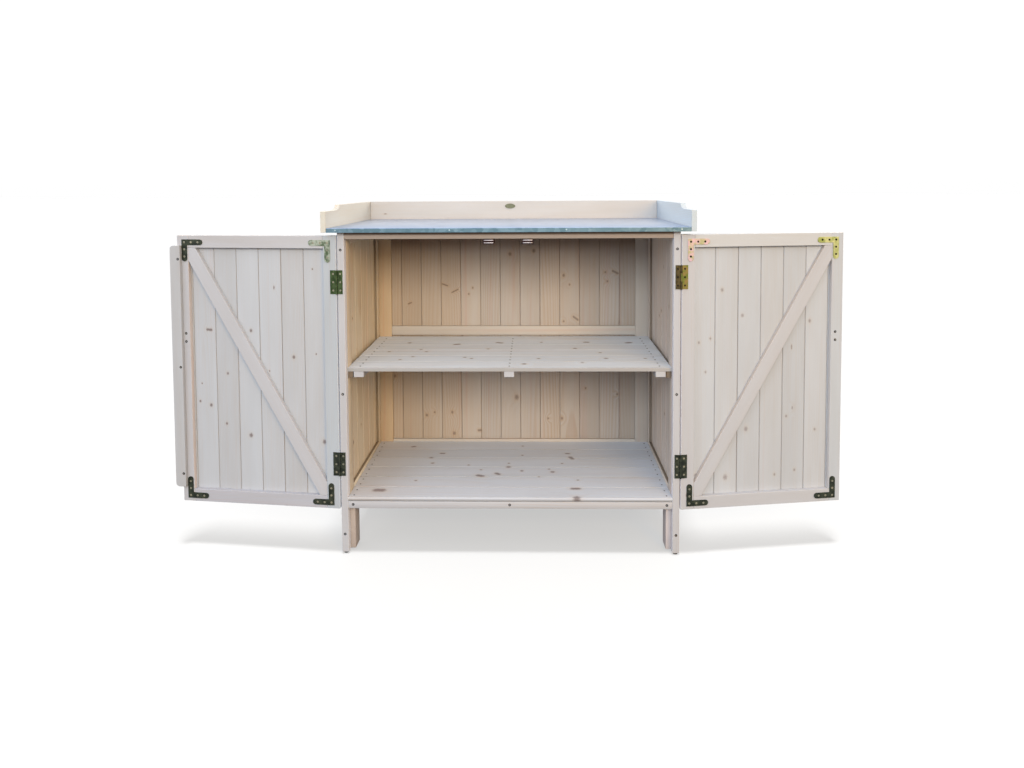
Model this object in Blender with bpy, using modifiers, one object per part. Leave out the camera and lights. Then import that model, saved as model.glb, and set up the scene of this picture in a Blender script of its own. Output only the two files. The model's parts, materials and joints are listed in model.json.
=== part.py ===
"""Potting bench with a two-door cabinet. Metres, +Z up, front towards -Y, origin on the floor."""

import math

import bmesh
import bpy
from mathutils import Vector

# Overall sizes
WIDTH = 0.980
DEPTH = 0.480
HEIGHT = 0.940

# Clear gap left between pieces that touch on the real bench
GAP = 0.0003

# Worktop; the splash guard's sides step down to the front in a quarter-round curve
SPLASH_THICK = 0.0137
SPLASH_LOW_TOP = 0.9262
SPLASH_STEP_START = -0.152
SPLASH_STEP_END = -0.114
SPLASH_STEP_SEGMENTS = 8
DECK_BOTTOM = 0.8705
DECK_TOP = 0.8804
ZINC_THICK = 0.0008
ZINC_LIP_BOTTOM = 0.8700
ZINC_FRONT = -0.2380
BADGE_X = -0.010
BADGE_Z = 0.9235
BADGE_HALF_LENGTH = 0.017
BADGE_HALF_HEIGHT = 0.008
BADGE_THICK = 0.0015

# Boards (tongue and groove, shown as V joints)
BOARD_THICK = 0.0090
BOARD_PITCH = 0.0642
DOOR_BOARD_PITCH = 0.0637
SHELF_BOARD_PITCH = 0.0625
GROOVE_DEPTH = 0.0016
GROOVE_HALF = 0.0015

# Carcass
CARCASS_FRONT = -0.2200
CARCASS_BACK = 0.2156
UNDER_DECK = DECK_BOTTOM - GAP
POST_OUTER = 0.4533
POST_INNER = 0.4350
POST_DEPTH = 0.0200
FOOT_INNER = 0.4215
FOOT_DEPTH = 0.0400
LEG_BOTTOM = 0.0045
MEMBER_OUTER = 0.4430
SIDE_STILE_DEPTH = 0.0367
SIDE_REAR_STILE_DEPTH = 0.0270
SIDE_BOARDS_BOTTOM = 0.1255
SIDE_RAIL_TOP = 0.1675
SIDE_FIRST_SEAM = 0.0480
UPPER_RAILS_BOTTOM = 0.8350
FRAME_INSIDE_BACK = 0.1570
BACK_FRAME_THICK = 0.0090
BACK_STILE_INNER = 0.3945
BACK_WINDOWS = ((0.1000, 0.1355), (0.1645, 0.5078), (0.5368, UPPER_RAILS_BOTTOM))
BACK_SEAM_NEAR_MIDDLE = -0.0413
TOP_RAIL_BOTTOM = 0.8515
TOP_RAIL_DEPTH = 0.0180
GLIDE_RADIUS = 0.0065

# Floor and shelf
DECK_HALF = 0.4347
FLOOR_TOP = 0.1561
FLOOR_THICK = 0.0095
FLOOR_FIRST_SEAM = 0.0585
FLOOR_FRAME_BOTTOM = 0.1252
FLOOR_CLEAT_WIDTH = 0.0210
FLOOR_JOIST_WIDTH = 0.0210
FLOOR_REAR_CLEAT_DEPTH = 0.0200
SHELF_TOP = 0.5032
SHELF_FRONT = -0.2058
SHELF_FIRST_SEAM = 0.0638
BATTEN_HEIGHT = 0.0157
BATTEN_WIDTH = 0.0270
BATTEN_AT = {"left": -0.4050, "center": 0.0, "right": 0.4050}
CLEAT_BOTTOM = 0.4745

# Doors, in the door's own axes: s runs from the hinge pin to the free edge, t towards the inside
PIN_X = 0.4552
PIN_Y = CARCASS_FRONT - 0.0026
EDGE_GAP = 0.0019
DOOR_WIDTH = 0.4500
DOOR_FIRST_SEAM = 0.0347
DOOR_BOTTOM = 0.1237
DOOR_TOP = 0.8605
DOOR_FACE = -0.0026
DOOR_FRAME_THICK = 0.0120
HINGE_STILE_WIDTH = 0.0355
FREE_STILE_WIDTH = 0.0316
RAIL_WIDTH = 0.0340
BRACE_WIDTH = 0.0350
LEFT_OPEN_DEG = 185.6
RIGHT_OPEN_DEG = 187.3
STRIP_BOTTOM = 0.167
STRIP_TOP = 0.833
STRIP_LAP = 0.0135
STRIP_OVERHANG = 0.0155
STRIP_THICK = 0.010
STRIP_CORNER = 0.010

# Hardware
LEAF_THICK = 0.0013
DOOR_LEAF_REACH = 0.0180
POST_LEAF_REACH = 0.0155
HINGE_HEIGHT = 0.0635
BARREL_RADIUS = 0.0024
HINGE_HEIGHTS = {"left": (0.7375, 0.2465), "right": (0.7485, 0.2417)}
PLATE_ARM = 0.0600
PLATE_WIDTH = 0.0155
PLATE_THICK = 0.0015
PLATE_HOLE_PITCH = 0.0195
SCREW_HOLE_RADIUS = 0.0021
PLATE_FROM_HINGE_EDGE = 0.0155
PLATE_FROM_FREE_EDGE = 0.0140
PLATE_FROM_TOP = 0.0110
PLATE_FROM_BOTTOM = 0.0090
PULL_HEIGHT = 0.580
PULL_LENGTH = 0.046
PULL_FROM_EDGE = 0.0165
PULL_DEPTH = 0.0200
PULL_ROOT_HALF = 0.0055
PULL_TIP_HALF = 0.0080
MAGNET_CENTRE = 0.0515
MAGNET_HALF_LENGTH = 0.0155
MAGNET_HEIGHT = 0.0142
POLE_HALF_LENGTH = 0.0125
POLE_HALF_THICK = 0.0011
POLE_DROPS = (0.0036, 0.0104)
HINGE_SCREW_REACH = 0.0095
HINGE_SCREW_OFFSETS = (-0.0220, 0.0, 0.0220)

FREE_EDGE = EDGE_GAP + DOOR_WIDTH
SMOOTH_BELOW = math.radians(50)


def clear_scene():
    for obj in list(bpy.data.objects):
        bpy.data.objects.remove(obj)


def new_collection(name):
    collection = bpy.data.collections.new(name)
    bpy.context.scene.collection.children.link(collection)
    return collection


def new_material(name, colour, metallic, roughness):
    material = bpy.data.materials.new(name)
    material.use_nodes = True
    shader = material.node_tree.nodes["Principled BSDF"]
    shader.inputs["Base Color"].default_value = (*colour, 1.0)
    shader.inputs["Metallic"].default_value = metallic
    shader.inputs["Roughness"].default_value = roughness
    return material


clear_scene()
PARTS = new_collection("potting_bench")
CUTTERS = new_collection("cutters")
FRAME_WOOD = new_material("whitewashed_pine_frame", (0.72, 0.68, 0.62), 0.0, 0.7)
BOARD_WOOD = new_material("whitewashed_pine_boards", (0.70, 0.65, 0.57), 0.0, 0.7)
ZINC = new_material("galvanised_sheet", (0.50, 0.60, 0.66), 0.9, 0.35)
STEEL = new_material("yellow_passivated_steel", (0.55, 0.50, 0.25), 0.9, 0.4)
PLASTIC = new_material("dark_plastic", (0.05, 0.04, 0.04), 0.0, 0.5)
BADGE = new_material("plain_brass", (0.45, 0.40, 0.28), 0.9, 0.4)


def add_object(name, bm, material, parent=None, bevel=0.0, collection=PARTS):
    """Turns a bmesh into a named object, its faces facing out and its edges eased."""
    bm.normal_update()
    bmesh.ops.recalc_face_normals(bm, faces=bm.faces)
    mesh = bpy.data.meshes.new(name)
    bm.to_mesh(mesh)
    bm.free()
    obj = bpy.data.objects.new(name, mesh)
    obj.parent = parent
    collection.objects.link(obj)
    mesh.shade_smooth()
    mesh.set_sharp_from_angle(angle=SMOOTH_BELOW)
    if material:
        mesh.materials.append(material)
    if bevel:
        ease = obj.modifiers.new("eased_edges", "BEVEL")
        ease.width = bevel
        ease.segments = 2
        ease.limit_method = "ANGLE"
        ease.angle_limit = SMOOTH_BELOW
    return obj


def box_bmesh(low, high):
    bm = bmesh.new()
    bmesh.ops.create_cube(bm, size=1.0)
    for vert in bm.verts:
        vert.co = [low[i] + (vert.co[i] + 0.5) * (high[i] - low[i]) for i in range(3)]
    return bm


def box(name, x, y, z, material=FRAME_WOOD, parent=None, bevel=0.001, collection=PARTS):
    """A box between the two values of each axis, given in either order."""
    spans = [sorted(span) for span in (x, y, z)]
    bm = box_bmesh([span[0] for span in spans], [span[1] for span in spans])
    return add_object(name, bm, material, parent, bevel, collection)


def prism(name, outline, place, depth, material, parent=None, bevel=0.0):
    """Extrudes a closed outline. place turns (u, v, w) into a point, w taking both depths."""
    bm = bmesh.new()
    rings = [[bm.verts.new(place(u, v, w)) for u, v in outline] for w in depth]
    bm.faces.new(rings[0])
    bm.faces.new(list(reversed(rings[1])))
    for i in range(len(outline)):
        j = (i + 1) % len(outline)
        bm.faces.new((rings[0][i], rings[1][i], rings[1][j], rings[0][j]))
    return add_object(name, bm, material, parent, bevel)


def apply_boolean(obj, other, operation):
    other.hide_render = True
    other.display_type = "WIRE"
    change = obj.modifiers.new(operation.lower() + "_" + other.name, "BOOLEAN")
    change.operation = operation
    change.solver = "EXACT"
    change.object = other


def change_with_box(obj, label, operation, x, y, z):
    helper = box(obj.name + label, x, y, z, None, obj.parent, 0.0, CUTTERS)
    apply_boolean(obj, helper, operation)


def cylinder_bmesh(centre, radius, low, high, axis, segments):
    """A cylinder along axis 0, 1 or 2 between low and high; centre holds the other two values."""
    bm = bmesh.new()
    bmesh.ops.create_cone(
        bm, cap_ends=True, segments=segments, radius1=radius, radius2=radius, depth=1.0
    )
    others = [i for i in range(3) if i != axis]
    for vert in bm.verts:
        point = Vector((0, 0, 0))
        point[others[0]] = centre[0] + vert.co.x
        point[others[1]] = centre[1] + vert.co.y
        point[axis] = low + (vert.co.z + 0.5) * (high - low)
        vert.co = point
    return bm


def change_with_cylinder(obj, label, operation, centre, radius, low, high, axis):
    bm = cylinder_bmesh(centre, radius, low, high, axis, 16)
    helper = add_object(obj.name + label, bm, None, obj.parent, 0.0, CUTTERS)
    apply_boolean(obj, helper, operation)


def boards_outline(start, end, seams, low, high, both_faces):
    """Cross-section of a run of V-jointed boards: u across the boards, v through them."""
    inside = [seam for seam in seams if start + 0.004 < seam < end - 0.004]
    outline = [(start, high)]
    for seam in inside:
        outline += [(seam - GROOVE_HALF, high), (seam, high - GROOVE_DEPTH)]
        outline += [(seam + GROOVE_HALF, high)]
    outline += [(end, high), (end, low)]
    if both_faces:
        for seam in reversed(inside):
            outline += [(seam + GROOVE_HALF, low), (seam, low + GROOVE_DEPTH)]
            outline += [(seam - GROOVE_HALF, low)]
    outline += [(start, low)]
    return outline


def seams_from(first, pitch, count):
    return [first + pitch * i for i in range(count)]


def build_worktop():
    half = WIDTH / 2
    inner = half - SPLASH_THICK
    back = DEPTH / 2
    profile = [(-back, DECK_BOTTOM), (-back, SPLASH_LOW_TOP)]
    run = SPLASH_STEP_END - SPLASH_STEP_START
    rise = HEIGHT - SPLASH_LOW_TOP
    for i in range(SPLASH_STEP_SEGMENTS + 1):
        angle = math.pi / 2 * i / SPLASH_STEP_SEGMENTS
        y = SPLASH_STEP_START + run * math.sin(angle)
        profile.append((y, SPLASH_LOW_TOP + rise * (1 - math.cos(angle))))
    profile += [(back, HEIGHT), (back, DECK_BOTTOM)]
    for side, sign in (("left", -1), ("right", 1)):
        prism(
            "splash_board_" + side,
            profile,
            lambda u, v, w: (w, u, v),
            (sign * inner, sign * half),
            FRAME_WOOD,
            bevel=0.001,
        )
    across = (-inner + GAP, inner - GAP)
    splash_front = back - SPLASH_THICK
    box("splash_board_back", across, (splash_front, back), (DECK_BOTTOM, HEIGHT))
    box(
        "worktop_deck",
        across,
        (ZINC_FRONT + ZINC_THICK + GAP, splash_front - GAP),
        (DECK_BOTTOM, DECK_TOP),
        BOARD_WOOD,
        bevel=0.0,
    )
    sheet_bottom = DECK_TOP + GAP
    sheet_top = sheet_bottom + ZINC_THICK
    lip_back = ZINC_FRONT + ZINC_THICK
    prism(
        "worktop_zinc_sheet",
        [
            (ZINC_FRONT, ZINC_LIP_BOTTOM),
            (ZINC_FRONT, sheet_top),
            (splash_front - GAP, sheet_top),
            (splash_front - GAP, sheet_bottom),
            (lip_back, sheet_bottom),
            (lip_back, ZINC_LIP_BOTTOM),
        ],
        lambda u, v, w: (w, u, v),
        across,
        ZINC,
    )
    build_badge(splash_front - GAP)


def build_badge(back):
    oval = []
    for i in range(32):
        angle = 2 * math.pi * i / 32
        x = BADGE_X + BADGE_HALF_LENGTH * math.cos(angle)
        oval.append((x, BADGE_Z + BADGE_HALF_HEIGHT * math.sin(angle)))
    prism("badge_plate", oval, lambda u, v, w: (u, w, v), (back - BADGE_THICK, back), BADGE)


def build_legs():
    for side, sign in (("left", -1), ("right", 1)):
        box(
            "front_post_" + side,
            (sign * POST_INNER, sign * POST_OUTER),
            (CARCASS_FRONT, CARCASS_FRONT + POST_DEPTH),
            (LEG_BOTTOM, UNDER_DECK),
            bevel=0.0015,
        )
        box(
            "rear_leg_" + side,
            (sign * FOOT_INNER, sign * MEMBER_OUTER),
            (CARCASS_BACK - FOOT_DEPTH, CARCASS_BACK),
            (LEG_BOTTOM, UNDER_DECK),
            bevel=0.0015,
        )
        middles = {
            "front": ((POST_INNER + POST_OUTER) / 2, CARCASS_FRONT + POST_DEPTH / 2),
            "rear": ((FOOT_INNER + MEMBER_OUTER) / 2, CARCASS_BACK - FOOT_DEPTH / 2),
        }
        for end, (x, y) in middles.items():
            bm = cylinder_bmesh((sign * x, y), GLIDE_RADIUS, 0.0, LEG_BOTTOM - GAP, 2, 24)
            add_object("glide_" + end + "_" + side, bm, PLASTIC, bevel=0.0008)


def build_side(side, sign):
    front = CARCASS_FRONT + POST_DEPTH + GAP
    back = FRAME_INSIDE_BACK - GAP
    outer = sign * MEMBER_OUTER
    thin = (sign * POST_INNER, outer)
    thick = (sign * FOOT_INNER, outer)
    seams = seams_from(front + SIDE_FIRST_SEAM, BOARD_PITCH, 6)
    outside = MEMBER_OUTER + GAP
    prism(
        "side_boards_" + side,
        boards_outline(front, CARCASS_BACK, seams, outside, outside + BOARD_THICK, True),
        lambda u, v, w: (sign * v, u, w),
        (SIDE_BOARDS_BOTTOM, UNDER_DECK),
        BOARD_WOOD,
    )
    height = (SIDE_BOARDS_BOTTOM, UNDER_DECK)
    frame = box("side_frame_" + side, thin, (front, back), height, bevel=0.0)
    through = (sign * (POST_INNER - 0.02), sign * (MEMBER_OUTER + 0.02))
    between = (front + SIDE_STILE_DEPTH, back - SIDE_REAR_STILE_DEPTH)
    opening = (SIDE_RAIL_TOP, UPPER_RAILS_BOTTOM)
    change_with_box(frame, "_window", "DIFFERENCE", through, between, opening)
    cleat = (CLEAT_BOTTOM, SHELF_TOP - FLOOR_THICK - GAP)
    change_with_box(frame, "_cleat", "UNION", thick, (front, back), cleat)
    foot = (front, front + FOOT_DEPTH)
    foot_top = FLOOR_FRAME_BOTTOM - GAP
    change_with_box(frame, "_foot", "UNION", thick, foot, (LEG_BOTTOM, foot_top))
    tie = (sign * (POST_INNER + 0.001), outer)
    reach = (front, front + SIDE_STILE_DEPTH)
    change_with_box(frame, "_tie", "UNION", tie, reach, (foot_top - 0.01, 0.14))


def build_back():
    thick = (FRAME_INSIDE_BACK, FRAME_INSIDE_BACK + BACK_FRAME_THICK)
    frame = box(
        "back_frame",
        (-MEMBER_OUTER, MEMBER_OUTER),
        thick,
        (SIDE_BOARDS_BOTTOM, UNDER_DECK),
        bevel=0.0,
    )
    across = (-BACK_STILE_INNER, BACK_STILE_INNER)
    through = (thick[0] - 0.01, thick[1] + 0.01)
    for i, span in enumerate(BACK_WINDOWS):
        change_with_box(frame, f"_window_{i}", "DIFFERENCE", across, through, span)
    face = thick[1] + GAP
    prism(
        "back_boards",
        boards_outline(
            -MEMBER_OUTER,
            MEMBER_OUTER,
            seams_from(BACK_SEAM_NEAR_MIDDLE - 6 * BOARD_PITCH, BOARD_PITCH, 14),
            -(face + BOARD_THICK),
            -face,
            True,
        ),
        lambda u, v, w: (u, -v, w),
        (SIDE_BOARDS_BOTTOM, UNDER_DECK),
        BOARD_WOOD,
    )


def build_floor_and_shelf():
    back = FRAME_INSIDE_BACK - GAP
    seams = seams_from(CARCASS_FRONT + FLOOR_FIRST_SEAM, BOARD_PITCH, 6)
    prism(
        "floor_boards",
        boards_outline(
            CARCASS_FRONT, back, seams, FLOOR_TOP - FLOOR_THICK, FLOOR_TOP, False
        ),
        lambda u, v, w: (w, u, v),
        (-DECK_HALF, DECK_HALF),
        BOARD_WOOD,
    )
    top = FLOOR_TOP - FLOOR_THICK - GAP
    height = (FLOOR_FRAME_BOTTOM, top)
    rail_back = CARCASS_FRONT + POST_DEPTH
    whole = (CARCASS_FRONT, back)
    frame = box("floor_frame", (-DECK_HALF, DECK_HALF), whole, height, bevel=0.0)
    ends = (FLOOR_JOIST_WIDTH / 2, DECK_HALF - FLOOR_CLEAT_WIDTH)
    opening = (rail_back, back - FLOOR_REAR_CLEAT_DEPTH)
    through = (FLOOR_FRAME_BOTTOM - 0.02, FLOOR_TOP)
    for label, sign in (("_left", -1), ("_right", 1)):
        across = (sign * ends[0], sign * ends[1])
        change_with_box(frame, label, "DIFFERENCE", across, opening, through)
    box(
        "top_front_rail",
        (-DECK_HALF, DECK_HALF),
        (CARCASS_FRONT, CARCASS_FRONT + TOP_RAIL_DEPTH),
        (TOP_RAIL_BOTTOM, UNDER_DECK),
    )
    seams = seams_from(SHELF_FRONT + SHELF_FIRST_SEAM, SHELF_BOARD_PITCH, 5)
    prism(
        "shelf_boards",
        boards_outline(
            SHELF_FRONT, back, seams, SHELF_TOP - FLOOR_THICK, SHELF_TOP, False
        ),
        lambda u, v, w: (w, u, v),
        (-DECK_HALF + GAP, DECK_HALF - GAP),
        BOARD_WOOD,
    )
    top = SHELF_TOP - FLOOR_THICK - GAP
    for side, x in BATTEN_AT.items():
        box(
            "shelf_batten_" + side,
            (x - BATTEN_WIDTH / 2, x + BATTEN_WIDTH / 2),
            (SHELF_FRONT + 0.001, back - 0.006),
            (top - BATTEN_HEIGHT, top),
        )


def build_magnets():
    top = TOP_RAIL_BOTTOM - GAP
    for side, sign in (("left", -1), ("right", 1)):
        middle = sign * MAGNET_CENTRE
        catch = box(
            "magnet_catch_" + side,
            (middle - MAGNET_HALF_LENGTH, middle + MAGNET_HALF_LENGTH),
            (CARCASS_FRONT - 0.0024, CARCASS_FRONT + TOP_RAIL_DEPTH),
            (top - MAGNET_HEIGHT, top),
            PLASTIC,
            bevel=0.0,
        )
        for i, drop in enumerate(POLE_DROPS):
            change_with_box(
                catch,
                f"_pole_{i}",
                "UNION",
                (middle - POLE_HALF_LENGTH, middle + POLE_HALF_LENGTH),
                (CARCASS_FRONT - 0.0030, CARCASS_FRONT),
                (top - drop - POLE_HALF_THICK, top - drop + POLE_HALF_THICK),
            )


def build_hinge_leaf(name, sign, middle, face, reach, knuckles, parent, origin):
    """One leaf: a plate on the surface at face, its knuckles round the pin, three screw holes."""
    px, py = origin
    plate_y = (py + face, py + face + math.copysign(LEAF_THICK, -face))
    low = middle - HINGE_HEIGHT / 2
    high = middle + HINGE_HEIGHT / 2
    leaf = box(
        name,
        (px + sign * BARREL_RADIUS * 0.6, px + sign * reach),
        plate_y,
        (low, high),
        STEEL,
        parent,
        bevel=0.0,
    )
    third = HINGE_HEIGHT / 3
    for i in range(3):
        bottom = low + i * third
        if i in knuckles:
            change_with_cylinder(
                leaf,
                f"_knuckle_{i}",
                "UNION",
                (px, py),
                BARREL_RADIUS,
                bottom + (0.0 if i == 0 else GAP / 2),
                bottom + third - (0.0 if i == 2 else GAP / 2),
                2,
            )
        else:
            change_with_box(
                leaf,
                f"_clearance_{i}",
                "DIFFERENCE",
                (px - sign * 0.001, px + sign * (BARREL_RADIUS + GAP)),
                (py - 0.004, py + 0.004),
                (bottom - GAP / 2, bottom + third + GAP / 2),
            )
    for i, offset in enumerate(HINGE_SCREW_OFFSETS):
        change_with_cylinder(
            leaf,
            f"_hole_{i}",
            "DIFFERENCE",
            (px + sign * HINGE_SCREW_REACH, middle + offset),
            SCREW_HOLE_RADIUS,
            py - 0.005,
            py + 0.005,
            1,
        )


def arc(centre, radius, angles):
    u, v = centre
    return [(u + radius * math.cos(angle), v + radius * math.sin(angle)) for angle in angles]


def plate_outline():
    """An L with square outer corner and round ends, its corner at the origin."""
    radius = PLATE_WIDTH / 2
    reach = PLATE_ARM - radius
    half_turn = [math.pi * i / 8 for i in range(9)]
    outline = [(0.0, 0.0)]
    outline += arc((reach, radius), radius, [angle - math.pi / 2 for angle in half_turn])
    outline.append((PLATE_WIDTH, PLATE_WIDTH))
    outline += arc((radius, reach), radius, half_turn)
    return outline


def plate_holes():
    """The corner hole, then two along each arm."""
    middle = PLATE_WIDTH / 2
    along = [(middle + PLATE_HOLE_PITCH * i, middle) for i in range(3)]
    up = [(middle, middle + PLATE_HOLE_PITCH * i) for i in range(1, 3)]
    return along + up


def build_corner_plate(name, sign, s_corner, s_way, z_corner, z_way, parent):
    inner = DOOR_FACE + GAP
    plate = prism(
        name,
        plate_outline(),
        lambda u, v, w: (sign * (s_corner + s_way * u), w, z_corner + z_way * v),
        (inner, inner + PLATE_THICK),
        STEEL,
        parent,
    )
    for i, (u, v) in enumerate(plate_holes()):
        change_with_cylinder(
            plate,
            f"_hole_{i}",
            "DIFFERENCE",
            (sign * (s_corner + s_way * u), z_corner + z_way * v),
            SCREW_HOLE_RADIUS,
            inner - 0.003,
            inner + 0.004,
            1,
        )


def brace_outline(s_low, s_high, z_low, z_high):
    """The diagonal, hinge side bottom to free side top, cut to the opening between the frame."""
    start = Vector((s_low, z_low))
    end = Vector((s_high, z_high))
    along = (end - start).normalized()
    half = BRACE_WIDTH / 2
    up = half / along.x
    over = half / along.y
    return [
        (s_low, z_low),
        (s_low + over, z_low),
        (s_high, z_high - up),
        (s_high, z_high),
        (s_high - over, z_high),
        (s_low, z_low + up),
    ]


def build_pull(name, sign, face, door):
    """A wooden pull, wider at its outer end, screwed on from the inside."""
    middle = FREE_EDGE - PULL_FROM_EDGE
    end = face - PULL_DEPTH
    half = [
        (PULL_ROOT_HALF, face),
        (PULL_TIP_HALF, end + 0.0020),
        (PULL_TIP_HALF - 0.0020, end),
    ]
    outline = [(middle + u, v) for u, v in half]
    outline += [(middle - u, v) for u, v in reversed(half)]
    prism(
        name,
        outline,
        lambda u, v, w: (sign * u, v, w),
        (PULL_HEIGHT - PULL_LENGTH / 2, PULL_HEIGHT + PULL_LENGTH / 2),
        FRAME_WOOD,
        door,
        bevel=0.001,
    )


def build_door(side, sign, open_deg):
    """sign turns s into local x: the left door runs to +x from its pin when closed."""
    door = bpy.data.objects.new("pivot_" + side + "_door", None)
    door.location = (-sign * PIN_X, PIN_Y, 0.0)
    door.rotation_euler = (0.0, 0.0, -sign * math.radians(open_deg))
    PARTS.objects.link(door)
    frame_t = (DOOR_FACE, DOOR_FACE - DOOR_FRAME_THICK)
    name = side + "_door_"
    hinge_inner = EDGE_GAP + HINGE_STILE_WIDTH
    free_inner = FREE_EDGE - FREE_STILE_WIDTH
    full = (DOOR_BOTTOM, DOOR_TOP)

    def span(low, high):
        return (sign * low, sign * high)

    box(name + "hinge_stile", span(EDGE_GAP, hinge_inner), frame_t, full, parent=door)
    box(name + "free_stile", span(free_inner, FREE_EDGE), frame_t, full, parent=door)
    between = span(hinge_inner + GAP, free_inner - GAP)
    rail_top = (DOOR_TOP - RAIL_WIDTH, DOOR_TOP)
    rail_bottom = (DOOR_BOTTOM, DOOR_BOTTOM + RAIL_WIDTH)
    box(name + "top_rail", between, frame_t, rail_top, parent=door)
    box(name + "bottom_rail", between, frame_t, rail_bottom, parent=door)
    prism(
        name + "brace",
        brace_outline(
            hinge_inner + GAP, free_inner - GAP, rail_bottom[1] + GAP, rail_top[0] - GAP
        ),
        lambda u, v, w: (sign * u, w, v),
        frame_t,
        FRAME_WOOD,
        door,
        bevel=0.001,
    )
    boards_inner = frame_t[1] - GAP
    boards_outer = boards_inner - BOARD_THICK + GAP
    seams = seams_from(DOOR_FIRST_SEAM, DOOR_BOARD_PITCH, 7)
    prism(
        name + "boards",
        boards_outline(EDGE_GAP, FREE_EDGE, seams, boards_outer, boards_inner, True),
        lambda u, v, w: (sign * u, v, w),
        full,
        BOARD_WOOD,
        door,
    )
    build_pull(name + "pull", sign, boards_outer - GAP, door)
    hinge_s = EDGE_GAP + PLATE_FROM_HINGE_EDGE
    free_s = FREE_EDGE - PLATE_FROM_FREE_EDGE
    top_z = DOOR_TOP - PLATE_FROM_TOP
    bottom_z = DOOR_BOTTOM + PLATE_FROM_BOTTOM
    corners = (
        ("top_hinge", hinge_s, 1, top_z, -1),
        ("top_free", free_s, -1, top_z, -1),
        ("bottom_hinge", hinge_s, 1, bottom_z, 1),
        ("bottom_free", free_s, -1, bottom_z, 1),
    )
    for where, s_corner, s_way, z_corner, z_way in corners:
        build_corner_plate(
            side + "_plate_" + where, sign, s_corner, s_way, z_corner, z_way, door
        )
    for where, middle in zip(("top", "bottom"), HINGE_HEIGHTS[side]):
        build_hinge_leaf(
            side + "_hinge_" + where + "_door_leaf",
            sign,
            middle,
            DOOR_FACE + GAP,
            DOOR_LEAF_REACH,
            (1,),
            door,
            (0.0, 0.0),
        )
        build_hinge_leaf(
            side + "_hinge_" + where + "_post_leaf",
            sign,
            middle,
            CARCASS_FRONT - GAP - PIN_Y,
            POST_LEAF_REACH,
            (0, 2),
            None,
            (-sign * PIN_X, PIN_Y),
        )
    return door


def build_cover_strip(door):
    """Covers the gap between the closed doors; fixed to the left one."""
    low = FREE_EDGE - STRIP_LAP
    high = FREE_EDGE + STRIP_OVERHANG
    quarter = [math.pi / 2 * i / 6 for i in range(7)]
    middle = high - STRIP_CORNER
    outline = [(low, STRIP_BOTTOM)]
    outline += arc(
        (middle, STRIP_BOTTOM + STRIP_CORNER),
        STRIP_CORNER,
        [angle - math.pi / 2 for angle in quarter],
    )
    outline += arc((middle, STRIP_TOP - STRIP_CORNER), STRIP_CORNER, quarter)
    outline.append((low, STRIP_TOP))
    face = DOOR_FACE + GAP
    prism(
        "left_door_cover_strip",
        outline,
        lambda u, v, w: (u, w, v),
        (face, face + STRIP_THICK),
        FRAME_WOOD,
        door,
        bevel=0.001,
    )


build_worktop()
build_legs()
build_side("left", -1)
build_side("right", 1)
build_back()
build_floor_and_shelf()
build_magnets()
left_door = build_door("left", 1, LEFT_OPEN_DEG)
build_cover_strip(left_door)
build_door("right", -1, RIGHT_OPEN_DEG)
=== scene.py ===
"""Looks of the potting bench: whitewashed pine, galvanised sheet, passivated steel, screws, nails, studio."""

import json
import math

import bmesh
import bpy
from mathutils import Matrix, Vector


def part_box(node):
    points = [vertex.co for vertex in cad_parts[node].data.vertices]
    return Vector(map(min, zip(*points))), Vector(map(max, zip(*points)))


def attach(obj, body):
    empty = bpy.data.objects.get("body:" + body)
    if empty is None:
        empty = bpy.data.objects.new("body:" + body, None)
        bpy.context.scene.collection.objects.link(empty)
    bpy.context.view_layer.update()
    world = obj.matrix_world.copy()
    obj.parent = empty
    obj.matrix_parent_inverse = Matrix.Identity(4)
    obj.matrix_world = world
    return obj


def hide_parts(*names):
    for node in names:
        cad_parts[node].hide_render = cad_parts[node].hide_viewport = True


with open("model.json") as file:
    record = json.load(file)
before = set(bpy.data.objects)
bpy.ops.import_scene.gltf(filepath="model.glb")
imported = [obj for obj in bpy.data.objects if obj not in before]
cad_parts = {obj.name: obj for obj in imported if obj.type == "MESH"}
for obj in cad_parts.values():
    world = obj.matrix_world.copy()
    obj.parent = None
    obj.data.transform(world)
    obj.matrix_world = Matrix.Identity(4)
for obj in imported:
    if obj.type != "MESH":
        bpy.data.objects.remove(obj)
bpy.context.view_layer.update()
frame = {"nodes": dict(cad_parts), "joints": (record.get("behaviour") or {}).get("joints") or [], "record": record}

X, Y, Z = Vector((1, 0, 0)), Vector((0, 1, 0)), Vector((0, 0, 1))
AXES = (X, Y, Z)
GAP = 0.0003
WHITE = (1.0, 1.0, 1.0)
NO_KNOT = 9.0

# Camera
CAMERA_AT = (0.0667, -1.907, 0.9903)
CAMERA_TILT = (87.48, 0.29, 0.98)
CAMERA_LENS = 22.605
CAMERA_SHIFT = (-0.0099, -0.1659)

# Light
SKY = 1.0
ZENITH_GAIN = 0.5
GROUND_LIGHT = (0.04, 0.035, 0.03)
FLOOR_GLOW = 0.50
FLOOR_COLOUR = 0.16
DROP_LIGHT = 5.7
DROP_LIGHT_ANGLE = 8.5
DROP_LIGHT_TILT = 4.5
DROP_LIGHT_HEIGHT = 3.0
FLOOR_HALF = 60.0

# Lamps: where each stands, the height that it aims at, its size, its watts and its colour
LAMPS = {
    "back_left": ((-2.8, 3.4, 2.2), 0.50, (2.0, 2.0), 85.0, (1.0, 0.92, 0.78)),
    "back_right": ((2.8, 3.4, 2.2), 0.50, (2.0, 2.0), 85.0, (1.0, 0.92, 0.78)),
    "front": ((0.0, -4.2, 2.4), 0.55, (2.0, 1.4), 96.0, (0.90, 1.0, 1.0)),
    "warm_right": ((2.0, -3.7, 2.0), 0.50, (1.6, 1.6), 78.0, (1.0, 0.56, 0.08)),
    "cool_left": ((-3.0, -2.9, 1.7), 0.50, (1.8, 1.8), 20.0, (0.82, 0.86, 1.0)),
}

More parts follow.
